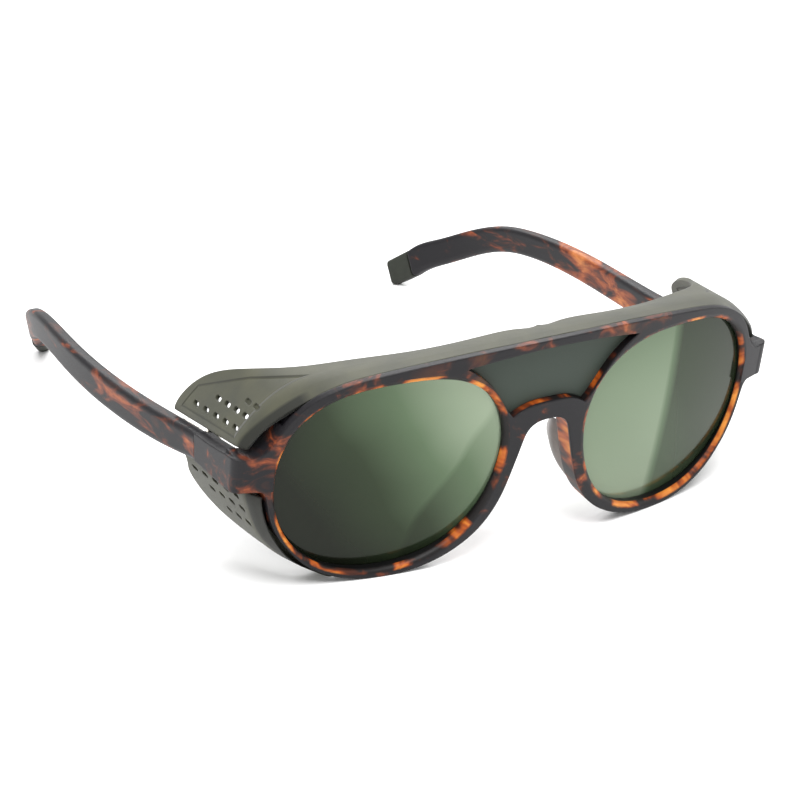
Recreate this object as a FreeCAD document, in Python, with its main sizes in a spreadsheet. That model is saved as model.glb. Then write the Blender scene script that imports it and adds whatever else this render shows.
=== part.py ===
import FreeCAD, Part
import math
import os

# Glacier glasses: a moulded front with keyhole bridge, two tinted lenses, two hinged temples with
# rubber tips, and one soft rubber shield that plugs the keyhole, follows the brow and closes the sides.
# Row frame: +X to the wearer's left, +Y from the lenses back to the temple tips, +Z up.
# The glasses stand on the bottom of the rims and on the temple tips.
# The front is designed upright in its own frame (x, depth, height above the lens centres) and its
# placement then leans it forwards at the top.

doc = FreeCAD.newDocument("glacier_glasses")

DIMENSIONS = {
    # placement of the front
    "lean": 6.92,             # degrees that the top of the front leans forwards
    "lens_height": 24.28,     # lens centres above the floor
    "centre_shift": 76.63,    # front face to the middle of the overall depth
    # front moulding
    "face_curve": 210.24,     # plan radius of the front face
    "rim_depth": 5.2,
    "step_start": 1.5,        # front face to the step that the shield lies in
    "step_depth": 1.3,
    "opening_round": 1.3,
    "block_depth": 90.0,
    "block_height": 60.0,
    # lenses
    "lens_spacing": 71.6,     # centre to centre
    "lens_width": 50.0,
    "lens_curve": 250.0,
    "lens_thick": 1.8,
    "lens_setback": 1.9,      # front face of the rim to the middle of the lens
    "lens_seat": 0.8,         # how far the lens edge enters the rim
    "seat_play": 0.12,
    # endpieces and temples
    "arm_outside": 69.8,      # half width at the endpieces
    "arm_inside": 66.2,
    "seam_depth": 29.4,       # front face to the seam between endpiece and temple
    "seam_gap": 0.12,
    # hinges
    "pivot_offset": 65.3,
    "barrel_radius": 1.6,
    "barrel_room": 1.9,
    "barrel_low": 25.3,
    "knuckle_height": 1.9,
    "knuckle_gap": 0.05,
    "front_leaf_low": 25.3,
    "front_leaf_height": 5.8,
    "arm_leaf_low": 25.7,
    "arm_leaf_height": 4.2,
    "leaf_length": 9.0,
    "leaf_thick": 1.0,
    "leaf_inset": 0.7,
    "screw_radius": 0.7,
    "screw_bore": 0.74,
    "screw_head_radius": 1.15,
    "screw_head_height": 0.7,
    "slot_width": 0.3,
    "slot_depth": 0.3,
    # temple tips
    "neck_length": 0.9,
    # shield
    "shield_thick": 1.4,
    "ledge_thick": 1.1,       # brow ledge and upper side panels
    "plug_setback": 1.9,
    "plug_play": 0.15,
    "web_thick": 1.4,
    "shield_gap": 0.15,
    "hole_radius": 0.55,
    "hole_stretch": 0.7,
}


def make_sheet():
    """Keeps the driving dimensions as plain numbers with aliases."""
    sheet = doc.addObject("Spreadsheet::Sheet", "Dimensions")
    for row, (alias, value) in enumerate(DIMENSIONS.items(), start=1):
        sheet.set(f"A{row}", alias)
        sheet.set(f"B{row}", str(value))
        sheet.setAlias(f"B{row}", alias)
    doc.recompute()
    return sheet


SHEET = make_sheet()


def dim(alias):
    """Reads one driving dimension back from the sheet."""
    return float(getattr(SHEET, alias))


def bind(item, **expressions):
    """Binds properties of an object to expressions on the sheet."""
    for name, expression in expressions.items():
        item.setExpression(name, expression.replace("$", "Dimensions."))


def named(kind, label):
    item = doc.addObject(kind, label)
    item.Label = label
    return item


def boolean(kind, label, first, second):
    """Part::Cut, Part::Fuse or Part::Common of two objects."""
    item = named(kind, label)
    item.Base = first
    item.Tool = second
    return item


def fused(label, items):
    item = named("Part::MultiFuse", label)
    item.Shapes = items
    return item


def feature(label, shape):
    item = named("Part::Feature", label)
    item.Shape = shape
    return item


SIDES = (("right", -1), ("left", 1))

# --- placements ------------------------------------------------------------------------------------

FRONT_PLACE = FreeCAD.Placement(
    FreeCAD.Vector(0, -dim("centre_shift"), dim("lens_height")),
    FreeCAD.Rotation(FreeCAD.Vector(1, 0, 0), dim("lean")),
)
WORLD_PLACE = FreeCAD.Placement(FreeCAD.Vector(0, -dim("centre_shift"), 0), FreeCAD.Rotation())


def bow(x):
    """How far the front face has curved back at a distance x from the middle."""
    return dim("face_curve") - math.sqrt(dim("face_curve") ** 2 - x * x)


def front_point(x, depth, height):
    """A point of the front's own frame, depth counted from the curved front face."""
    return FreeCAD.Vector(x, bow(x) + depth, height)


def mirrored(points, side):
    return [(side * p[0],) + tuple(p[1:]) for p in points]


# --- outlines in the front's plane -----------------------------------------------------------------

LENS_COSINES = {2: 0.0388, 3: 0.0003, 4: -0.0218}
LENS_SINES = {2: -0.0327, 3: 0.0216, 4: -0.0023}
LENS_MEAN_RADIUS = 24.5


def lens_radius(angle):
    """Radius of the rounded lens opening; the angle runs from the outward direction."""
    wave = sum(c * math.cos(n * angle) for n, c in LENS_COSINES.items())
    wave += sum(s * math.sin(n * angle) for n, s in LENS_SINES.items())
    return LENS_MEAN_RADIUS * (1 + wave)


def lens_frame():
    """Scale and centre that bring the bare outline to the stated width about its own middle."""
    turns = [math.radians(a) for a in range(360)]
    across = [lens_radius(a) * math.cos(a) for a in turns]
    upright = [lens_radius(a) * math.sin(a) for a in turns]
    scale = dim("lens_width") / (max(across) - min(across))
    return scale, (max(across) + min(across)) / 2, (max(upright) + min(upright)) / 2


LENS_SCALE, LENS_MID_X, LENS_MID_Z = lens_frame()


def lens_point(degrees, grow, side):
    angle = math.radians(degrees)
    radius = lens_radius(angle) + grow / LENS_SCALE
    x = (radius * math.cos(angle) - LENS_MID_X) * LENS_SCALE + dim("lens_spacing") / 2
    z = (radius * math.sin(angle) - LENS_MID_Z) * LENS_SCALE
    return (side * x, z)


def lens_loop(grow, side):
    return [lens_point(a, grow, side) for a in range(0, 360, 12)]


# Right half of each outline, (x, height), from the middle outwards.
BROW_TOP = [(0, 28.5), (15, 28.2), (31, 26.9), (41.5, 25.4), (45.7, 24.5), (49.7, 23.2), (53.6, 21.3),
            (57.3, 18.2), (59.4, 15.6), (61.1, 12.6), (62.7, 9.9), (64.6, 8.1), (67.0, 7.4)]
RIM_SIDE = [(64.4, -0.3), (63.1, -1.2), (62.4, -3.2), (61.8, -6.2), (60.7, -9.9), (59.1, -13.2),
            (56.9, -16.3)]
# The rim's foot: angle round the lens and width of the rim there.
RIM_FOOT = [(-46, 1.5), (-58, 1.6), (-70, 1.7), (-82, 1.8), (-94, 1.85), (-106, 2.0), (-118, 2.3),
            (-130, 2.75)]
NOSE_SIDE = [(14.2, -15.9), (11.7, -12.5), (9.6, -8.2), (8.2, -3.8), (7.2, -0.2), (6.5, 2.4),
             (5.9, 4.7), (5.0, 6.8), (3.2, 8.3), (0, 8.8)]
ENDPIECE_REACH = 69.0
# The part of the brow that has the step, (x, height of the brow's top).
BROW_STEP = [(0, 28.5), (15, 28.2), (31, 26.9), (41.5, 25.4), (45.7, 24.5), (49.7, 23.2), (53.6, 21.3),
             (57.3, 18.2), (60.0, 14.7)]

KEY_TOP = [(0, 26.7), (11, 26.2), (22.0, 24.8)]
KEY_SIDE = [(22.0, 24.8), (19.0, 22.7), (16.4, 20.4), (14.3, 17.9), (12.5, 15.1), (11.0, 12.9),
            (9.3, 10.8)]
KEY_FOOT = [(9.3, 10.8), (7.6, 11.8), (5.2, 12.7), (0, 13.1)]


def both_halves(half):
    """Left copy, reversed, then the right half: one run from left to right."""
    left = [(-x, z) for x, z in reversed(half) if x > 0]
    return left + list(half)


def flat(points):
    return [FreeCAD.Vector(x, z, 0) for x, z in points]


def curve(points):
    spline = Part.BSplineCurve()
    spline.interpolate(Points=flat(points))
    return spline


def closed_curve(points):
    spline = Part.BSplineCurve()
    spline.interpolate(Points=flat(points), PeriodicFlag=True)
    return spline


def line(first, second):
    return Part.LineSegment(*flat([first, second]))


def front_outline():
    """Outer edge of the front: brow, endpiece stubs, rims and nose arch."""
    foot = [lens_point(angle, width, 1) for angle, width in RIM_FOOT]
    under = both_halves((RIM_SIDE + foot + NOSE_SIDE)[::-1])
    top_end = BROW_TOP[-1]
    low_end = RIM_SIDE[0]
    top_corner = (ENDPIECE_REACH, top_end[1])
    low_corner = (ENDPIECE_REACH, low_end[1])
    edges = [curve(both_halves(BROW_TOP)), curve(under)]
    for side in (-1, 1):
        stub = [(side * x, z) for x, z in (top_end, top_corner, low_corner, low_end)]
        edges += [line(a, b) for a, b in zip(stub, stub[1:])]
    return edges


def key_outline(shrink):
    """The keyhole above the nose bridge, drawn inwards by shrink (outwards if negative)."""
    middle = 19.0
    flat_half = 26.0

    def inset(point):
        x, z = point
        rise = -shrink if z > middle else shrink
        return (x * (1 - shrink / flat_half * 1.6), z + rise * abs(z - middle) / 7)

    runs = [both_halves([inset(p) for p in KEY_TOP]), both_halves([inset(p) for p in KEY_FOOT][::-1])]
    side_run = [inset(p) for p in KEY_SIDE]
    runs += [side_run, mirrored(side_run, -1)]
    return [curve(run) for run in runs]


def padded_body(label, geometry, length="$block_depth"):
    """A PartDesign body: one sketch in the front's plane, padded to both sides of it."""
    body = named("PartDesign::Body", label)
    plane = next(f for f in body.Origin.OriginFeatures if f.Role == "XZ_Plane")
    sketch = body.newObject("Sketcher::SketchObject", label + "_sketch")
    sketch.AttachmentSupport = [(plane, "")]
    sketch.MapMode = "FlatFace"
    for item in geometry:
        sketch.addGeometry(item, False)
    pad = body.newObject("PartDesign::Pad", label + "_pad")
    pad.Profile = sketch
    pad.Midplane = True
    bind(pad, Length=length)
    body.Tip = pad
    return body


def cylinder(label, radius, height, at, axis=FreeCAD.Vector(0, 0, 1)):
    item = named("Part::Cylinder", label)
    bind(item, Radius=radius, Height=height)
    item.Placement = FreeCAD.Placement(at, FreeCAD.Rotation(FreeCAD.Vector(0, 0, 1), axis))
    return item


def curved_slab(label, start, end):
    """The layer of the curved front between two depths, as one cylinder cut from another."""
    centre = FreeCAD.Vector(0, dim("face_curve"), -dim("block_height") / 2)
    outer = cylinder(label + "_outer", f"$face_curve - ({start})", "$block_height", centre)
    inner = cylinder(label + "_inner", f"$face_curve - ({end})", "$block_height", centre)
    return boolean("Part::Cut", label, outer, inner)


# --- lenses ----------------------------------------------------------------------------------------


def lens_shell(label, side, play):
    """The spherical layer that a lens is cut from, thicker on both faces by play."""
    x = dim("lens_spacing") / 2
    normal = math.asin(x / dim("face_curve"))
    reach = dim("lens_curve") + dim("lens_setback")
    centre = FreeCAD.Vector(
        side * (x - reach * math.sin(normal)), bow(x) + reach * math.cos(normal), 0
    )
    balls = []
    radii = {"front": f"$lens_curve + {play}", "back": f"$lens_curve - $lens_thick - {play}"}
    for name, radius in radii.items():
        ball = named("Part::Sphere", f"{label}_{name}")
        bind(ball, Radius=radius)
        ball.Placement.Base = centre
        balls.append(ball)
    return boolean("Part::Cut", label + "_shell", *balls)


def make_lens(label, side):
    blank = padded_body(label + "_blank", [closed_curve(lens_loop(dim("lens_seat"), side))])
    lens = boolean("Part::Common", label, blank, lens_shell(label, side, 0))
    lens.Placement = FRONT_PLACE
    return lens


def lens_seat(label, side):
    """The groove that the lens edge snaps into, with a little play."""
    play = dim("seat_play")
    loop = lens_loop(dim("lens_seat") + play, side)
    blank = padded_body(label + "_blank", [closed_curve(loop)])
    return boolean("Part::Common", label, blank, lens_shell(label, side, play))


# --- endpieces -------------------------------------------------------------------------------------

ENDPIECE_TOP = [(2.0, 7.6), (13.0, 7.5), (16.0, 6.9), (20.0, 5.8), (25.0, 4.6), (31.0, 3.6)]
ENDPIECE_FOOT = [(31.0, -2.8), (20.0, -1.6), (12.0, -0.5), (2.0, -0.3)]
CORNER_RADIUS = 2.4


def prism(points, direction):
    face = Part.Face(Part.makePolygon(points + points[:1]))
    return face.extrude(direction)


def endpiece(label, side):
    """The stub that turns the corner from the front to the hinge."""
    outside = dim("arm_outside")
    inside = dim("arm_inside")
    seam = dim("seam_depth")
    seam_local = seam + 1.5
    steps = [math.radians(a) for a in range(0, 91, 10)]
    corner_y = bow(outside - CORNER_RADIUS) + CORNER_RADIUS
    corner = [
        (outside - CORNER_RADIUS * (1 - math.sin(a)), corner_y - CORNER_RADIUS * math.cos(a)) for a in steps
    ]
    start = 60.0
    depth = dim("rim_depth")
    plan = [(start, bow(start)), (64.0, bow(64.0))] + corner
    plan += [(outside, seam_local), (inside, seam_local), (inside, bow(inside) + depth - 0.4)]
    plan += [(start, bow(start) + depth - 0.4)]
    height = 40.0
    footprint = [FreeCAD.Vector(side * x, y, -height / 2) for x, y in plan]
    footprint_block = prism(footprint, FreeCAD.Vector(0, 0, height))
    profile = [FreeCAD.Vector(side * 61.5, y, z) for y, z in ENDPIECE_TOP + ENDPIECE_FOOT]
    profile_block = prism(profile, FreeCAD.Vector(side * 20.0, 0, 0))
    return feature(label, footprint_block.common(profile_block))


# --- front -----------------------------------------------------------------------------------------


def brow_step(label):
    """Step along the top of the front that the shield's brow ledge lies in."""
    low = both_halves([(x, z - dim("step_depth")) for x, z in BROW_STEP])
    above = dim("block_height") / 2
    corners = [low[-1], (low[-1][0], above), (low[0][0], above), low[0]]
    edges = [curve(low)] + [line(a, b) for a, b in zip(corners, corners[1:])]
    blank = padded_body(label + "_blank", edges)
    slab = curved_slab(label + "_slab", "$step_start", "$rim_depth + 1")
    return boolean("Part::Common", label, blank, slab)


def rounded_openings(plate):
    """The plate with the front edges of both lens openings rounded."""
    item = named("Part::Fillet", "front_rounded")
    item.Base = plate
    edges = []
    for number, edge in enumerate(plate.Shape.Edges, start=1):
        middle = edge.valueAt((edge.FirstParameter + edge.LastParameter) / 2)
        on_face = abs(middle.y - bow(middle.x)) < 0.01
        if on_face and len(edge.Vertexes) == 1:
            edges.append((number, dim("opening_round"), dim("opening_round")))
    item.Edges = edges
    return item


def make_front():
    """The one-piece moulded front: pad, curved slab, lens seats, endpieces, hinge room."""
    openings = [closed_curve(lens_loop(0, side)) for side in (-1, 1)]
    blank = padded_body("front_blank", front_outline() + key_outline(0) + openings)
    slab = curved_slab("front_slab", "0", "$rim_depth")
    plate = boolean("Part::Common", "front_plate", blank, slab)
    stepped = boolean("Part::Cut", "front_stepped", plate, brow_step("brow_step"))
    doc.recompute()
    rounded = rounded_openings(stepped)
    seats = fused("lens_seats", [lens_seat("seat_right", -1), lens_seat("seat_left", 1)])
    grooved = boolean("Part::Cut", "front_grooved", rounded, seats)
    joined = fused("front_joined", [grooved, endpiece("endpiece_right", -1), endpiece("endpiece_left", 1)])
    joined.Placement = FRONT_PLACE
    room = [hinge_room(f"front_room_{name}", side, -1) for name, side in SIDES]
    past_seam = (-100.0, dim("seam_depth") - dim("centre_shift"), 0.0)
    room.append(box("past_seam", past_seam, (200.0, 20.0, 60.0)))
    return boolean("Part::Cut", "front_frame", joined, fused("front_room", room))


# --- hinges ----------------------------------------------------------------------------------------

LEAF_START = 2.2      # the leaf's plate begins this far from the pivot


def box(label, corner, size):
    """A Part::Box from its low corner; the sizes are numbers or expressions."""
    item = named("Part::Box", label)
    for name, value in zip(("Length", "Width", "Height"), size):
        bind(item, **{name: str(value)})
    item.Placement.Base = FreeCAD.Vector(*corner)
    return item


def pivot(side, height):
    y = dim("seam_depth") - dim("centre_shift")
    return FreeCAD.Vector(side * dim("pivot_offset"), y, height)


def leaf_plate(label, side, way, start, length):
    """Flat leaf let into the inner face of the endpiece (way -1) or temple (way +1)."""
    near = dim("arm_inside") + dim("leaf_inset")
    x = near - dim("leaf_thick") if side > 0 else -near
    y = pivot(side, 0).y + (start if way > 0 else -start - length)
    which = "front" if way < 0 else "arm"
    size = ("$leaf_thick", length, f"${which}_leaf_height")
    return box(label, (x, y, dim(which + "_leaf_low")), size)


def hinge_room(label, side, way):
    """Space in the plastic for one leaf and for the barrel."""
    foot = pivot(side, dim("barrel_low") - 0.9)
    barrel = cylinder(label + "_barrel", "$barrel_room", "4 * $knuckle_height", foot)
    plate = leaf_plate(label + "_plate", side, way, 0.0, dim("leaf_length") + LEAF_START)
    return fused(label, [barrel, plate])


def knuckle(label, side, level):
    height = dim("barrel_low") + level * (dim("knuckle_height") + dim("knuckle_gap"))
    return cylinder(label, "$barrel_radius", "$knuckle_height", pivot(side, height))


def tongue(label, side, way, level):
    """Short bar from a knuckle to its leaf."""
    height = dim("barrel_low") + level * (dim("knuckle_height") + dim("knuckle_gap"))
    near = dim("arm_inside") + dim("leaf_inset")
    x = near - dim("leaf_thick") if side > 0 else -near
    y = pivot(side, 0).y - (0 if way > 0 else 2.6)
    return box(label, (x, y, height), ("$leaf_thick", 2.6, "$knuckle_height"))


def hinge_leaf(label, side, way, levels):
    parts = [leaf_plate(label + "_plate", side, way, LEAF_START, dim("leaf_length"))]
    for level in levels:
        parts.append(knuckle(f"{label}_knuckle_{level}", side, level))
        parts.append(tongue(f"{label}_tongue_{level}", side, way, level))
    solid = fused(label + "_solid", parts)
    foot = pivot(side, dim("barrel_low") - 4)
    bore = cylinder(label + "_bore", "$screw_bore", "8 * $knuckle_height", foot)
    return boolean("Part::Cut", label, solid, bore)


def hinge_screw(label, side):
    """Slotted screw that is the hinge's pin."""
    total = "3 * $knuckle_height + 2 * $knuckle_gap"
    low = dim("barrel_low")
    shaft = cylinder(label + "_shaft", "$screw_radius", total, pivot(side, low))
    top = low + 3 * dim("knuckle_height") + 2 * dim("knuckle_gap")
    head = cylinder(label + "_head", "$screw_head_radius", "$screw_head_height", pivot(side, top))
    blank = boolean("Part::Fuse", label + "_blank", shaft, head)
    middle = pivot(side, top + dim("screw_head_height") - dim("slot_depth"))
    corner = (middle.x - 2, middle.y - dim("slot_width") / 2, middle.z)
    slot = box(label + "_slot", corner, (4.0, "$slot_width", "2 * $slot_depth"))
    return boolean("Part::Cut", label, blank, slot)


# --- temples ---------------------------------------------------------------------------------------

# Stations along a temple: (depth, half width of the glasses at the arm's middle, height, tall, thick, drop
# of the run in degrees).
TEMPLE = [
    (29.52, 68.0, 28.10, 6.4, 3.6, 0),
    (40.0, 68.7, 26.85, 7.1, 3.8, 6),
    (52.0, 69.7, 25.75, 7.5, 3.9, 4),
    (64.0, 70.6, 25.20, 7.7, 3.7, 1),
    (79.0, 71.3, 25.10, 7.6, 3.6, 0),
    (95.0, 70.9, 25.10, 7.2, 3.6, 1),
    (108.0, 69.6, 24.50, 6.9, 3.6, 6),
    (119.0, 68.0, 22.70, 7.0, 3.6, 16),
    (130.0, 65.2, 18.40, 7.2, 3.7, 26),
    (140.0, 61.2, 13.00, 7.4, 3.8, 31),
    (148.0, 57.3, 7.70, 7.6, 3.9, 32),
]
TIP_END = (154.0, 54.2, 3.15, 7.3, 3.8, 33)
# How the tip's end rounds off: (smaller by, further on).
TIP_ROUNDING = [(0, 0), (0.25, 0.55), (0.7, 0.95), (1.3, 1.2)]


def rounded_section(station, side, shrink=0.0, advance=0.0):
    """Rounded rectangle across the temple at one station."""
    depth, middle, height, tall, thick, drop = station
    tall -= 2 * shrink
    thick -= 2 * shrink
    radius = min(1.3, thick * 0.42)
    half_t, half_h = thick / 2, tall / 2
    placement = FreeCAD.Placement(
        FreeCAD.Vector(side * middle, depth, height), FreeCAD.Rotation(FreeCAD.Vector(1, 0, 0), -drop)
    )
    arcs = []
    for turn, (way_x, way_z) in enumerate([(1, 1), (-1, 1), (-1, -1), (1, -1)]):
        cx, cz = way_x * (half_t - radius), way_z * (half_h - radius)
        angles = [math.radians(90 * turn + a) for a in (0, 45, 90)]
        arcs.append([
            FreeCAD.Vector(cx + radius * math.cos(a), advance, cz + radius * math.sin(a)) for a in angles
        ])
    edges = []
    for arc, following in zip(arcs, arcs[1:] + arcs[:1]):
        edges.append(Part.Arc(*arc).toShape())
        edges.append(Part.LineSegment(arc[2], following[0]).toShape())
    wire = Part.Wire(edges)
    wire.Placement = placement
    return wire


def make_temple(label, side):
    """The arm, from the seam over the ear bend, with a spigot for the rubber tip."""
    arm = Part.makeLoft([rounded_section(s, side) for s in TEMPLE], True, False)
    last = TEMPLE[-1]
    neck = Part.makeLoft(
        [rounded_section(last, side, 0.45), rounded_section(last, side, 0.45, dim("neck_length"))], True, True
    )
    blank = feature(label + "_blank", arm.fuse(neck).removeSplitter())
    blank.Placement = WORLD_PLACE
    room = hinge_room(label + "_hinge_room", side, 1)
    return boolean("Part::Cut", label, blank, room)


def make_tip(label, side):
    """Rubber end cap with a rounded end."""
    sections = [rounded_section(TEMPLE[-1], side, 0.0, dim("neck_length"))]
    sections += [rounded_section(TIP_END, side, shrink, advance) for shrink, advance in TIP_ROUNDING]
    cap = Part.makeLoft(sections, True, True)
    tip = feature(label, cap)
    tip.Placement = WORLD_PLACE
    return tip


# --- nose pads -------------------------------------------------------------------------------------

# Each run goes from the rim's nose edge back to the free edge: (x, depth, height).
PAD_RUNS = [
    [(6.6, 5.3, 4.0), (6.5, 7.4, 3.4), (7.6, 9.4, 2.2)],
    [(7.3, 5.3, 0.6), (6.9, 8.4, 0.2), (8.8, 11.6, -0.6)],
    [(8.3, 5.3, -3.6), (7.9, 9.0, -3.8), (10.0, 13.0, -4.1)],
    [(9.8, 5.3, -7.8), (9.5, 9.0, -8.1), (11.7, 12.6, -8.4)],
    [(11.8, 5.3, -11.6), (11.7, 8.2, -12.0), (13.8, 10.6, -12.4)],
    [(14.2, 5.3, -14.8), (14.3, 6.6, -15.1), (15.4, 7.8, -15.4)],
]

# --- shield ----------------------------------------------------------------------------------------

# Runs of the brow ledge and upper side panel: (x, depth, height) at the front edge, at the crest
# beside the rim, and at the free rear edge.
UPPER_RUNS = [
    [(0, 1.7, 28.4), (0, 5.6, 28.3), (0, 8.8, 27.3)],
    [(5, 1.7, 28.37), (5, 5.6, 28.27), (5, 8.8, 27.26)],
    [(15, 1.7, 28.1), (15, 5.6, 28.0), (15, 8.9, 26.9)],
    [(31, 1.7, 26.8), (31.1, 5.8, 26.6), (31.5, 9.5, 25.3)],
    [(41.5, 1.7, 25.3), (41.8, 6.2, 25.1), (42.4, 11.4, 23.7)],
    [(49.7, 1.7, 23.1), (50.6, 6.6, 22.9), (52.0, 14.8, 21.0)],
    [(55.8, 1.8, 19.7), (57.3, 6.4, 19.8), (58.6, 21.6, 17.3)],
    [(60.6, 2.2, 16.0), (62.0, 5.2, 16.3), (62.6, 29.4, 11.9)],
    [(63.4, 2.3, 13.1), (65.1, 4.2, 13.1), (65.6, 32.0, 7.2)],
    [(66.3, 2.4, 8.7), (67.6, 4.0, 8.5), (68.0, 32.0, 1.9)],
]
# Runs of the lower side panel, from under the endpiece round to the foot of the rim.
LOWER_RUNS = [
    [(63.2, 1.4, -2.6), (65.1, 3.6, -2.7), (66.0, 31.0, -8.6)],
    [(62.8, 1.3, -6.2), (64.7, 3.8, -6.4), (64.4, 32.2, -13.6)],
    [(61.6, 1.3, -10.2), (63.4, 3.9, -10.4), (62.4, 31.4, -17.8)],
    [(60.0, 1.3, -13.6), (61.9, 4.3, -13.9), (60.4, 26.4, -20.6)],
    [(58.0, 1.4, -16.8), (59.6, 4.8, -17.2), (58.6, 21.0, -21.8)],
    [(55.0, 1.5, -20.0), (56.4, 5.3, -20.4), (56.4, 14.6, -22.6)],
    [(51.0, 1.8, -22.6), (52.0, 5.8, -22.9), (52.8, 10.0, -23.4)],
    [(46.6, 2.2, -24.3), (47.2, 6.0, -24.2), (47.8, 7.8, -24.0)],
]


PANEL_HEART = (34.0, 12.0, 0.0)
CREST_ROUND = 1.5


def crest_arc(first, crest, last, size):
    """Where a rounded corner of that size leaves its two legs, and the arc's middle."""
    to_first = first - crest
    to_last = last - crest
    size = min(size, 0.45 * to_first.Length, 0.45 * to_last.Length)
    start = crest + to_first.normalize() * size
    end = crest + to_last.normalize() * size
    return start, (start + crest * 2 + end) * 0.25, end


def panel_section(run, side, front_wall, wall):
    """Closed wire across a bent wall: outer legs over the crest, inner legs back."""
    first, crest, last = [front_point(*p) for p in run]
    plane = (crest - first).cross(last - crest).normalize()
    inwards = [plane.cross(leg).normalize() for leg in (crest - first, last - crest)]
    heart = FreeCAD.Vector(side * PANEL_HEART[0], *PANEL_HEART[1:])
    if inwards[1].dot(heart - last) < 0:
        inwards = [-v for v in inwards]
    mitre = (inwards[0] + inwards[1]) * (1 / (1 + inwards[0].dot(inwards[1])))
    inner = [first + inwards[0] * front_wall, crest + mitre * wall, last + inwards[1] * wall]
    a, b, c = crest_arc(first, crest, last, CREST_ROUND)
    d, e, f = crest_arc(inner[2], inner[1], inner[0], CREST_ROUND * 0.6)
    pieces = [Part.LineSegment(first, a), Part.Arc(a, b, c), Part.LineSegment(c, last),
              Part.LineSegment(last, inner[2]), Part.LineSegment(inner[2], d), Part.Arc(d, e, f),
              Part.LineSegment(f, inner[0]), Part.LineSegment(inner[0], first)]
    return Part.Wire([p.toShape() for p in pieces])


def curved_panel(runs, side, front_wall, wall):
    """A bent wall lofted through its runs, on the given side."""
    sections = [panel_section(mirrored(run, side), side, front_wall, wall) for run in runs]
    return Part.makeLoft(sections, True, False)


def make_nose_pad(label, side):
    """Smooth wing that carries the weight on the side of the nose."""
    pad = feature(label, curved_panel(PAD_RUNS, side, 1.9, 1.6))
    pad.Placement = FRONT_PLACE
    return pad


def hole_cutter(at, direction, inwards):
    """Oval cutter that enters a side panel that far from outside, stretched along its rows."""
    radius = dim("hole_radius")
    stretch = FreeCAD.Vector(0, 1, 0) - direction * direction.y
    stretch.normalize()
    length = inwards + 2.0
    base = at - direction * inwards
    ends = [base + stretch * (k * dim("hole_stretch")) for k in (-1, 1)]
    cutters = [Part.makeCylinder(radius, length, end, direction) for end in ends]
    wide = direction.cross(stretch)
    corners = [ends[0] - wide * radius, ends[1] - wide * radius]
    corners += [ends[1] + wide * radius, ends[0] + wide * radius]
    return cutters[0].fuse([cutters[1], prism(corners, direction * length)])


def panel_point(runs, across, along):
    """Place on a panel and its outward normal: across counts runs, along is 0 at the crest, 1 at the rear."""
    def at(u, f):
        low = min(int(u), len(runs) - 2)
        ends = []
        for run in runs[low:low + 2]:
            crest, last = front_point(*run[1]), front_point(*run[2])
            ends.append(crest + (last - crest) * f)
        return ends[0] + (ends[1] - ends[0]) * (u - low)

    here = at(across, along)
    step = 0.05
    normal = (at(across, along + step) - here).cross(at(across + step, along) - here).normalize()
    if normal.x * here.x < 0:
        normal = -normal
    return here, normal


UPPER_HOLES = [(8.34, 0.14), (8.34, 0.29), (8.34, 0.44), (8.34, 0.60), (8.34, 0.76),
               (7.66, 0.15), (7.66, 0.29), (7.66, 0.44), (7.66, 0.59)]
UPPER_DIMPLES = [(7.05, 0.12), (7.05, 0.26)]
LOWER_HOLES = [(0.55, 0.16), (0.55, 0.33), (0.55, 0.50), (0.55, 0.67), (0.55, 0.84),
               (1.35, 0.12), (1.35, 0.29), (1.35, 0.46), (1.35, 0.63),
               (2.25, 0.10), (2.25, 0.28), (2.25, 0.46)]


def side_panels(side):
    """Upper and lower panels of one side, with their vent holes."""
    wall = dim("shield_thick")
    panels = []
    ledge = dim("ledge_thick")
    designs = (
        (UPPER_RUNS, UPPER_HOLES, UPPER_DIMPLES, ledge, ledge),
        (LOWER_RUNS, LOWER_HOLES, [], 0.3, wall),
    )
    for runs, holes, dimples, front_wall, own_wall in designs:
        own_runs = [mirrored(run, side) for run in runs]
        panel = curved_panel(runs, side, front_wall, own_wall)
        cutters = [hole_cutter(*panel_point(own_runs, *hole), 3.0) for hole in holes]
        cutters += [hole_cutter(*panel_point(own_runs, *dimple), 0.4) for dimple in dimples]
        panels.append(panel.cut(cutters))
    return panels


FLANGE_ANGLES = range(-58, 59, 4)
FLANGE_INNER = 0.6
FLANGE_OUTER = 3.5
FLANGE_NARROWING = 0.05   # per degree above the bend of the rim, where the brow ledge is closer
FLANGE_BEND = 40


def flange_block(label, side):
    """Band round the outer half of the rim that ties the two panels of a side together."""
    inner = [lens_point(a, FLANGE_INNER, side) for a in FLANGE_ANGLES]
    narrower = [max(0, a - FLANGE_BEND) * FLANGE_NARROWING for a in FLANGE_ANGLES]
    outer = [lens_point(a, FLANGE_OUTER - n, side) for a, n in zip(FLANGE_ANGLES, narrower)]
    loop = [FreeCAD.Vector(x, 0, z) for x, z in inner + outer[::-1]]
    return feature(label, prism(loop, FreeCAD.Vector(0, dim("block_depth") / 2, 0)))


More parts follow.
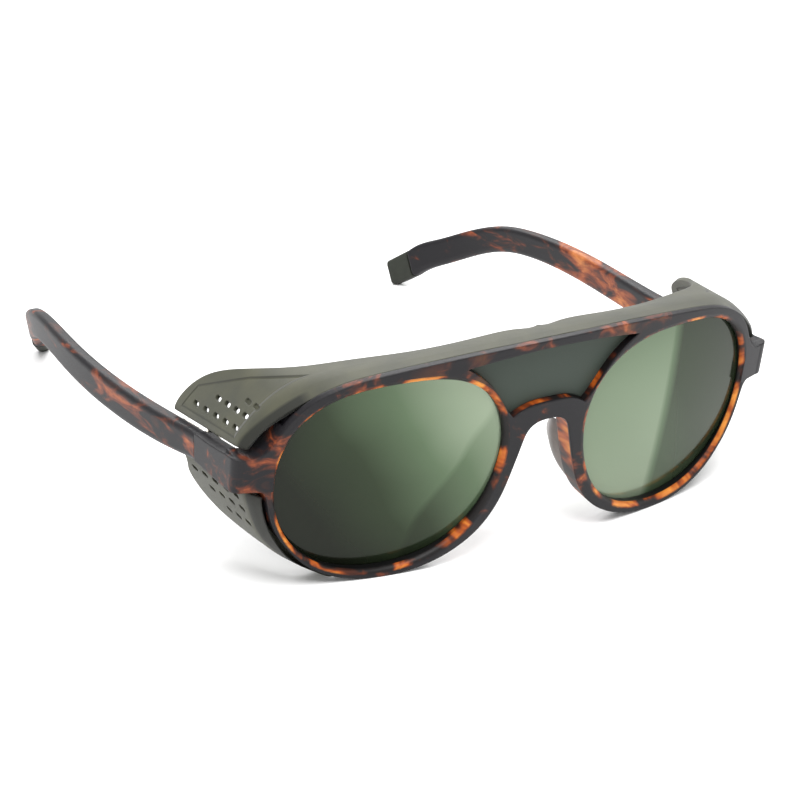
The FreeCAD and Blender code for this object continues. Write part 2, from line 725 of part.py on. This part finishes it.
def make_shield():
    """One soft moulding: keyhole plug, web behind the bridge, brow ledge, side panels, flanges."""
    behind = "$rim_depth + $shield_gap"
    back_slab = curved_slab("shield_back", behind, behind + " + $web_thick")
    plug_slab = curved_slab("shield_plug_slab", "$plug_setback", behind + " + 0.2")
    web_blank = padded_body("shield_web_blank", key_outline(-1.1))
    plug_blank = padded_body("shield_plug_blank", key_outline(dim("plug_play")))
    web = boolean("Part::Common", "shield_web", web_blank, back_slab)
    plug = boolean("Part::Common", "shield_plug", plug_blank, plug_slab)
    pieces = [fused("shield_middle", [web, plug])]
    for name, side in SIDES:
        block = flange_block("flange_block_" + name, side)
        wing = [boolean("Part::Common", "flange_" + name, block, back_slab)]
        for level, panel in zip(("upper", "lower"), side_panels(side)):
            wing.append(feature(f"{level}_panel_{name}", panel))
        pieces.append(fused("shield_wing_" + name, wing))
    shield = fused("shield", pieces)
    shield.Placement = FRONT_PLACE
    return shield


# --- assembly --------------------------------------------------------------------------------------


def make_parts():
    parts = [make_front(), make_shield()]
    for name, side in SIDES:
        parts += [
            make_lens("lens_" + name, side),
            make_nose_pad("nose_pad_" + name, side),
            hinge_leaf("front_hinge_leaf_" + name, side, -1, (0, 2)),
            hinge_leaf("temple_hinge_leaf_" + name, side, 1, (1,)),
            hinge_screw("hinge_screw_" + name, side),
            make_temple("temple_" + name, side),
            make_tip("temple_tip_" + name, side),
        ]
    doc.recompute()
    return parts


def check(parts):
    """Stops the build if any feature failed or any piece is not a sound closed solid."""
    for item in doc.Objects:
        if "Invalid" in item.State or "Error" in item.State:
            raise RuntimeError(f"{item.Label} failed: {item.State}")
    for part in parts:
        shape = part.Shape
        if shape.isNull() or not shape.isValid() or min(solid.Volume for solid in shape.Solids) <= 0:
            raise RuntimeError(f"{part.Label} is not a sound solid")


def export(parts):
    os.makedirs("parts", exist_ok=True)
    for part in parts:
        part.Shape.exportStep(f"parts/{part.Label}.step")
        print(f"{part.Label}: {part.Shape.Volume:.1f} mm3, {len(part.Shape.Solids)} solid")


PARTS = make_parts()
check(PARTS)
export(PARTS)
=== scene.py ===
import math

import bpy
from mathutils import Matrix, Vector

# Looks for the glacier glasses: node materials on the CAD pieces, a pale floor and a soft studio.

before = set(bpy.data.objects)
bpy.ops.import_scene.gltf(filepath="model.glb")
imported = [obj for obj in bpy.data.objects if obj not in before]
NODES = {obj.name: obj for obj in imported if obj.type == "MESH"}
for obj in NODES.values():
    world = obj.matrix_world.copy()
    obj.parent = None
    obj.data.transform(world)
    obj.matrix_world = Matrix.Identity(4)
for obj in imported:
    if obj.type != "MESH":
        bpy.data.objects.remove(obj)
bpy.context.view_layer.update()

SIDES = ("right", "left")

# The front's own frame in the row frame: its y and z in millimetres, its lean and the curve of its face.
FRONT_AT = (-76.63, 24.28)
LEAN = math.radians(6.92)
FACE_CURVE = 210.24
LENS_X = 35.8


# --- node helpers ----------------------------------------------------------------------------------


class Graph:
    """One procedural material, built node by node."""

    def __init__(self, name):
        self.material = bpy.data.materials.new(name)
        self.material.use_nodes = True
        self.tree = self.material.node_tree
        self.tree.nodes.clear()
        self.output = self.tree.nodes.new("ShaderNodeOutputMaterial")

    def node(self, kind, inputs=None, **settings):
        made = self.tree.nodes.new("ShaderNode" + kind)
        for key, value in settings.items():
            setattr(made, key, value)
        for key, value in (inputs or {}).items():
            self.put(made.inputs[key], value)
        return made

    def put(self, socket, value):
        if isinstance(value, bpy.types.NodeSocket):
            self.tree.links.new(value, socket)
        else:
            socket.default_value = value

    def position(self, scale=(1, 1, 1)):
        """Place on the piece in millimetres, so a pattern moves with its piece."""
        place = self.node("TexCoord").outputs["Object"]
        sized = tuple(1000 * s for s in scale)
        return self.node("Mapping", {"Vector": place, "Scale": sized}).outputs["Vector"]

    def noise(self, vector, scale, detail=3.0, rough=0.5, bend=0.0):
        return self.node("TexNoise", {"Vector": vector, "Scale": scale, "Detail": detail,
                                      "Roughness": rough, "Distortion": bend}).outputs["Fac"]

    def ramp(self, value, stops):
        made = self.node("ValToRGB", {"Fac": value})
        elements = made.color_ramp.elements
        while len(elements) < len(stops):
            elements.new(0.5)
        for element, (at, colour) in zip(elements, stops):
            element.position = at
            element.color = colour
        return made.outputs["Color"]

    def math(self, kind, first, second=0.0):
        return self.node("Math", {0: first, 1: second}, operation=kind).outputs[0]

    def range(self, value, low, high, to_low, to_high):
        return self.node("MapRange", {"Value": value, "From Min": low, "From Max": high,
                                      "To Min": to_low, "To Max": to_high}).outputs["Result"]

    def mix(self, factor, first, second):
        """Colour between two; the sockets of the colour kind have no names of their own, only numbers."""
        return self.node("Mix", {0: factor, 6: first, 7: second}, data_type="RGBA").outputs[2]

    def bump(self, height, strength, distance, normal):
        return self.node("Bump", {"Height": height, "Strength": strength, "Distance": distance,
                                  "Normal": normal}).outputs["Normal"]

    def soft_edge(self, radius):
        """Normal of an edge rounded in the shading alone, in metres."""
        return self.node("Bevel", {"Radius": radius}, samples=6).outputs["Normal"]

    def principled(self, inputs):
        shader = self.node("BsdfPrincipled", inputs)
        self.put(self.output.inputs["Surface"], shader.outputs["BSDF"])
        return self.material


def grey(value):
    return (value, value, value, 1)


def hexed(code):
    """Linear colour of an sRGB hex code."""
    parts = [int(code[k:k + 2], 16) / 255 for k in (1, 3, 5)]
    return tuple(p / 12.92 if p <= 0.04045 else ((p + 0.055) / 1.055) ** 2.4 for p in parts) + (1,)


# --- materials -------------------------------------------------------------------------------------


def split(g, vector):
    parts = g.node("SeparateXYZ", {"Vector": vector})
    return [parts.outputs[axis] for axis in "XYZ"]


def local_front(g):
    """Place in the front's own frame: x, depth behind the curved front face, height above the lenses."""
    x, y, z = split(g, g.position())
    y = g.math("SUBTRACT", y, FRONT_AT[0])
    z = g.math("SUBTRACT", z, FRONT_AT[1])
    cos, sin = math.cos(LEAN), math.sin(LEAN)
    deep = g.math("ADD", g.math("MULTIPLY", y, cos), g.math("MULTIPLY", z, sin))
    high = g.math("SUBTRACT", g.math("MULTIPLY", z, cos), g.math("MULTIPLY", y, sin))
    bow = g.math("MULTIPLY", g.math("MULTIPLY", x, x), 1 / (2 * FACE_CURVE))
    return x, g.math("SUBTRACT", deep, bow), high


def looks_inwards(g, centre_x):
    """How much a face looks at the middle of an opening centred that far from the plane of symmetry."""
    x, _, high = local_front(g)
    away = g.math("SUBTRACT", g.math("ABSOLUTE", x), centre_x)
    signed = g.math("MULTIPLY", away, g.math("SIGN", x))
    outwards = g.node("CombineXYZ", {"X": signed, "Y": 0.0, "Z": high}).outputs["Vector"]
    outwards = g.node("VectorMath", {0: outwards}, operation="NORMALIZE").outputs["Vector"]
    normal = g.node("TexCoord").outputs["Normal"]
    facing = g.node("VectorMath", {0: outwards, 1: normal}, operation="DOT_PRODUCT").outputs["Value"]
    return g.range(g.math("MULTIPLY", facing, -1.0), 0.12, 0.45, 0.0, 1.0)


def looks_up(g):
    """Full on faces that look up or sideways to the middle, none on those that look forward or down."""
    x, _, z = split(g, g.node("TexCoord").outputs["Normal"])
    middle = g.math("MULTIPLY", g.math("SIGN", split(g, g.position())[0]), x)
    best = g.math("MAXIMUM", z, g.math("MULTIPLY", middle, -1.0))
    return g.range(best, 0.45, 0.75, 0.0, 1.0)


def tortoise_colour(g, place, amount):
    """Flames of rust and amber in near-black brown; amount shifts their share."""
    flames = g.noise(place, 0.19, 3.0, 0.55, 0.9)
    clouds = g.noise(place, 0.05, 2.0, 0.5, 0.4)
    blotch = g.math("ADD", g.math("MULTIPLY", flames, 0.7), g.math("MULTIPLY", clouds, 0.45))
    blotch = g.math("ADD", blotch, amount)
    colour = g.ramp(blotch, [
        (0.0, hexed("#0f1014")), (0.61, hexed("#141216")), (0.65, hexed("#2e1915")),
        (0.69, hexed("#57291a")), (0.75, hexed("#8a4423")), (0.84, hexed("#b86f3a")),
    ])
    fleck = g.noise(place, 0.9, 3.0, 0.6, 0.8)
    return g.mix(g.range(fleck, 0.5, 0.75, 0.0, 0.5), colour, hexed("#121013"))


def matte_shell(g, colour):
    haze = g.noise(g.position(), 6.0, 2.0, 0.6)
    rough = g.range(haze, 0.3, 0.7, 0.42, 0.52)
    normal = g.bump(g.noise(g.position(), 14.0, 2.0, 0.5), 0.06, 0.0002, g.soft_edge(0.0006))
    return g.principled({"Base Color": colour, "Roughness": rough, "Normal": normal, "IOR": 1.46,
                         "Specular IOR Level": 0.32})


# Depth over which the wall of a lens opening turns from painted amber glow to painted black shade in the
# lens groove.
PAINTED_GLOW_TO_SHADE_DEPTHS = (1.3, 1.6)


def tortoise_front(name):
    """Matte dark tortoiseshell with painted light: an amber glow of thin edges on the walls of its
    openings and on the keyhole and bridge walls that look up, and black painted shade deeper in the lens
    grooves.
    """
    g = Graph(name)
    place = g.position((0.75, 1.0, 1.2))
    colour = tortoise_colour(g, place, -0.02)
    _, depth, high = local_front(g)
    lens_wall = looks_inwards(g, LENS_X)
    # Painted glow: amber on the walls of the lens openings, as of light through thin edges, fading out
    # with depth.
    edge = g.math("MULTIPLY", lens_wall, g.range(depth, *PAINTED_GLOW_TO_SHADE_DEPTHS, 1.0, 0.0))
    painted_glow_streaks = g.ramp(g.noise(g.position((1.0, 0.3, 1.0)), 0.13, 3.0, 0.55, 0.6), [
        (0.44, hexed("#100c0c")), (0.49, hexed("#4c210f")),
        (0.55, hexed("#a34c14")), (0.66, hexed("#dc8c38")),
    ])
    colour = g.mix(edge, colour, painted_glow_streaks)
    # Painted shade: near-black on the walls of the lens openings deeper than the glow.
    black = g.math("MULTIPLY", lens_wall, g.range(depth, *PAINTED_GLOW_TO_SHADE_DEPTHS, 0.0, 1.0))
    colour = g.mix(black, colour, hexed("#050505"))
    # Painted glow: amber on walls near the middle that look up or towards the middle, as if lit from
    # above.
    painted_glow_key_wall = g.math("MULTIPLY", g.math("MULTIPLY", looks_up(g), g.range(depth, 0.4, 0.8, 0.0, 1.0)),
                      g.range(high, 20.0, 24.0, 1.0, 0.0))
    middle = g.math("ABSOLUTE", split(g, g.position())[0])
    painted_glow_key_wall = g.math("MULTIPLY", painted_glow_key_wall, g.range(middle, 19.0, 21.0, 1.0, 0.0))
    colour = g.mix(painted_glow_key_wall, colour, painted_glow_streaks)
    return matte_shell(g, colour)


def tortoise_arm(name):
    """The same shell on a temple, its flames drawn out along the arm."""
    g = Graph(name)
    return matte_shell(g, tortoise_colour(g, g.position((1.0, 0.45, 1.4)), 0.045))


RUBBER_GRAIN = 0.1


def rubber(name, code, pale, roughness):
    """Matte moulded rubber with a fine grain."""
    g = Graph(name)
    place = g.position()
    cloud = g.noise(place, 0.12, 3.0, 0.55)
    colour = g.mix(g.range(cloud, 0.3, 0.7, 0.0, 1.0), hexed(code), hexed(pale))
    fine = g.noise(place, 7.0, 2.0, 0.6)
    rough = g.range(fine, 0.3, 0.7, roughness - 0.05, roughness + 0.06)
    normal = g.bump(fine, RUBBER_GRAIN, 0.0002, g.soft_edge(0.0004))
    return g.principled({"Base Color": colour, "Roughness": rough, "Normal": normal, "IOR": 1.45,
                         "Specular IOR Level": 0.35})


def shield_rubber(name):
    """Olive rubber, greener in the keyhole and with painted shade that darkens the wall that faces
    forward, with the recessed field that frames the vents of each upper side panel, ringed by painted
    shade."""
    g = Graph(name)
    place = g.position()
    x, depth, high = local_front(g)
    beside = g.math("ABSOLUTE", x)
    cloud = g.range(g.noise(place, 0.12, 3.0, 0.55), 0.3, 0.7, 0.0, 1.0)
    colour = g.mix(cloud, hexed("#3c3d33"), hexed("#484839"))
    plug = g.math("MULTIPLY", g.range(beside, 20.0, 24.0, 1.0, 0.0), g.range(depth, 3.0, 5.0, 1.0, 0.0))
    plug = g.math("MULTIPLY", plug, g.range(high, 26.5, 27.5, 1.0, 0.0))
    colour = g.mix(plug, colour, hexed("#2f3931"))
    # Painted shade: the wall that faces forward is darkened.
    wall = g.math("MULTIPLY", g.range(beside, 54.0, 56.0, 0.0, 1.0), g.range(depth, 3.9, 4.6, 1.0, 0.0))
    colour = g.mix(wall, colour, hexed("#1f201a"))
    inside = vent_field(g, beside, depth, high)
    # Painted shade: a thin dark band along the border of the recessed field.
    painted_shade_line = g.math("MULTIPLY", g.range(inside, -0.1, 0.15, 0.0, 1.0), g.range(inside, 0.25, 0.5, 1.0, 0.0))
    colour = g.mix(g.math("MULTIPLY", painted_shade_line, 0.45), colour, hexed("#17181a"))
    fine = g.noise(place, 7.0, 2.0, 0.6)
    rough = g.range(fine, 0.3, 0.7, 0.52, 0.62)
    normal = g.bump(fine, RUBBER_GRAIN, 0.0002, g.soft_edge(0.0005))
    normal = g.bump(g.range(inside, 0.0, 0.6, 1.0, 0.0), 0.9, 0.0004, normal)
    return g.principled({"Base Color": colour, "Roughness": rough, "Normal": normal, "IOR": 1.45,
                         "Specular IOR Level": 0.35, "Sheen Weight": 0.1, "Sheen Roughness": 0.5})


# Borders of the recessed field on an upper side panel: the multiples of (beside, depth, high) and the
# number that they add up to at the border; the field is where the sum is larger.
FIELD_BORDERS = (
    (0.0, 0.227, 1.0, 10.9),
    (0.0, -1.0, 0.0, -29.8),
    (0.0, -0.569, -0.822, -24.6),
    (0.0, -0.478, -0.878, -23.9),
    (0.0, 1.0, -0.24, 3.8),
    (1.0, 0.0, 0.0, 43.0),
)


def vent_field(g, beside, depth, high):
    """Millimetres inside the recessed field of an upper side panel."""
    inside = 9.0
    for a, b, c, border in FIELD_BORDERS:
        total = g.math("ADD", g.math("MULTIPLY", beside, a), g.math("MULTIPLY", depth, b))
        total = g.math("ADD", total, g.math("MULTIPLY", high, c))
        inside = g.math("MINIMUM", inside, g.math("SUBTRACT", total, border))
    return inside


def mirror_lens(name, side):
    """Dark green-grey lens. Its tint carries painted reflections: gradients and one crisp edge on each
    side, which stand for what a mirror coat shows of a studio; the lamps add only a soft gloss to them."""
    g = Graph(name)
    x, _, high = local_front(g)
    wander = g.math("MULTIPLY", g.math("SUBTRACT", g.noise(g.position(), 0.05, 1.0), 0.5), 8.0)
    across = g.math("ADD", g.math("SUBTRACT", x, side * LENS_X), wander)
    # Painted reflections: on the right lens a pale gradient, dimmer beyond a bent border; on the left lens
    # a crisp edge from pale to dark.
    if side < 0:
        mirror = g.math("ADD", g.math("MULTIPLY", across, 0.020), g.math("MULTIPLY", high, 0.011))
        pale = g.range(mirror, -0.40, 0.60, 0.0, 1.0)
        bend = g.math("MULTIPLY", g.math("SINE", g.math("MULTIPLY", high, 0.13)), 2.5)
        beyond = g.math("SUBTRACT", across, g.math("ADD", g.math("MULTIPLY", high, 0.42), bend))
        pale = g.math("SUBTRACT", pale, g.range(beyond, 13.0, 15.0, 0.0, 0.13))
    else:
        edge = g.math("ADD", g.math("SUBTRACT", x, side * LENS_X), g.math("MULTIPLY", high, -0.05))
        pale = g.math("ADD", g.range(edge, -1.0, 2.5, 0.78, 0.34), g.range(edge, 2.5, 22.0, 0.0, -0.16))
        pale = g.math("SUBTRACT", pale, g.math("MULTIPLY", high, 0.005))
    tint = g.ramp(pale, [
        (0.0, hexed("#181c13")), (0.3, hexed("#2b3624")), (0.6, hexed("#54664d")), (1.0, hexed("#93a18a")),
    ])
    rough = g.range(g.noise(g.position(), 0.5, 3.0, 0.6), 0.3, 0.7, 0.10, 0.16)
    return g.principled({"Base Color": tint, "Metallic": 0.35, "Roughness": rough, "IOR": 1.5,
                         "Specular IOR Level": 0.3})


def pad_plastic(name):
    """Frosted clear plastic of the nose pads."""
    g = Graph(name)
    place = g.position()
    tone = g.mix(g.noise(place, 0.25, 2.0), hexed("#3b302b"), hexed("#75665c"))
    rough = g.range(g.noise(place, 5.0, 2.0), 0.3, 0.7, 0.32, 0.42)
    return g.principled({"Base Color": tone, "Roughness": rough, "IOR": 1.49, "Transmission Weight": 0.25,
                         "Normal": g.soft_edge(0.0005)})


def steel(name, code, roughness):
    """Brushed hinge metal."""
    g = Graph(name)
    grain = g.noise(g.position((1, 0.15, 1)), 9.0, 2.0, 0.6)
    rough = g.range(grain, 0.3, 0.7, roughness - 0.06, roughness + 0.08)
    colour = g.mix(grain, hexed(code), hexed("#8f8a84"))
    return g.principled({"Base Color": colour, "Metallic": 1.0, "Roughness": rough,
                         "Normal": g.soft_edge(0.00015)})


def paint(node, material):
    mesh = NODES[node].data
    mesh.materials.clear()
    mesh.materials.append(material)


def paint_all():
    shell_front = tortoise_front("tortoise_front")
    shell_arm = tortoise_arm("tortoise_arm")
    shield = shield_rubber("shield_rubber")
    tip = rubber("tip_rubber", "#22241f", "#2c2f28", 0.62)
    pad = pad_plastic("pad_plastic")
    leaf = steel("hinge_steel", "#b9b4ac", 0.3)
    screw = steel("screw_steel", "#cfcac2", 0.22)
    paint("front_frame", shell_front)
    paint("shield", shield)
    for side in SIDES:
        paint("lens_" + side, mirror_lens("mirror_lens_" + side, {"right": -1, "left": 1}[side]))
        paint("nose_pad_" + side, pad)
        paint("front_hinge_leaf_" + side, leaf)
        paint("temple_hinge_leaf_" + side, leaf)
        paint("hinge_screw_" + side, screw)
        paint("temple_" + side, shell_arm)
        paint("temple_tip_" + side, tip)


# --- studio ----------------------------------------------------------------------------------------


def make_floor():
    """Seamless white floor plane under the glasses."""
    bpy.ops.mesh.primitive_plane_add(size=30, location=(0, 0, 0))
    floor = bpy.context.object
    floor.name = "floor"
    g = Graph("floor_white")
    tone = g.mix(g.noise(g.position(), 0.002, 1.0), grey(0.93), grey(0.95))
    g.principled({"Base Color": tone, "Roughness": 0.9})
    floor.data.materials.append(g.material)


def make_world():
    world = bpy.data.worlds.new("studio")
    world.use_nodes = True
    background = world.node_tree.nodes["Background"]
    background.inputs["Color"].default_value = grey(1.0)
    background.inputs["Strength"].default_value = 0.78
    bpy.context.scene.world = world


def area_light(name, at, target, size, power):
    data = bpy.data.lights.new(name, "AREA")
    data.shape = "RECTANGLE"
    data.size, data.size_y = size
    data.energy = power
    light = bpy.data.objects.new(name, data)
    light.location = at
    light.rotation_euler = (Vector(target) - Vector(at)).to_track_quat("-Z", "Y").to_euler()
    bpy.context.scene.collection.objects.link(light)


AIM = Vector((0.0, -0.02, 0.02))


def make_lights():
    area_light("key", (-0.25, -0.35, 0.9), AIM, (0.7, 0.5), 10)
    area_light("rim", (0.35, 0.75, 0.7), AIM, (0.8, 0.3), 8)
    area_light("side", (0.9, -0.25, 0.35), AIM, (0.35, 0.6), 2)


# Camera: azimuth, elevation and roll of the view in degrees, its place in metres and its lens.
AZIMUTH, ELEVATION, ROLL = -31.55, 24.55, 1.97
CAMERA_AT = (-0.25205, -0.34994 + FRONT_AT[0] / 1000, 0.2322)
LENS_MM = 99.0


def make_camera():
    a, e, r = (math.radians(v) for v in (AZIMUTH, ELEVATION, ROLL))
    back = Vector((math.sin(a) * math.cos(e), -math.cos(a) * math.cos(e), math.sin(e)))
    right = (-back).cross(Vector((0, 0, 1))).normalized()
    up = right.cross(-back)
    turned_right = right * math.cos(r) + up * math.sin(r)
    turned_up = up * math.cos(r) - right * math.sin(r)
    data = bpy.data.cameras.new("camera")
    data.sensor_width = 36.0
    data.lens = LENS_MM
    data.clip_start = 0.01
    data.clip_end = 50
    camera = bpy.data.objects.new("camera", data)
    matrix = camera.matrix_world
    for row in range(3):
        matrix[row][0] = turned_right[row]
        matrix[row][1] = turned_up[row]
        matrix[row][2] = back[row]
        matrix[row][3] = CAMERA_AT[row]
    camera.matrix_world = matrix
    bpy.context.scene.collection.objects.link(camera)
    bpy.context.scene.camera = camera


paint_all()
make_floor()
make_world()
make_lights()
make_camera()
bpy.context.scene.view_settings.view_transform = "Standard"
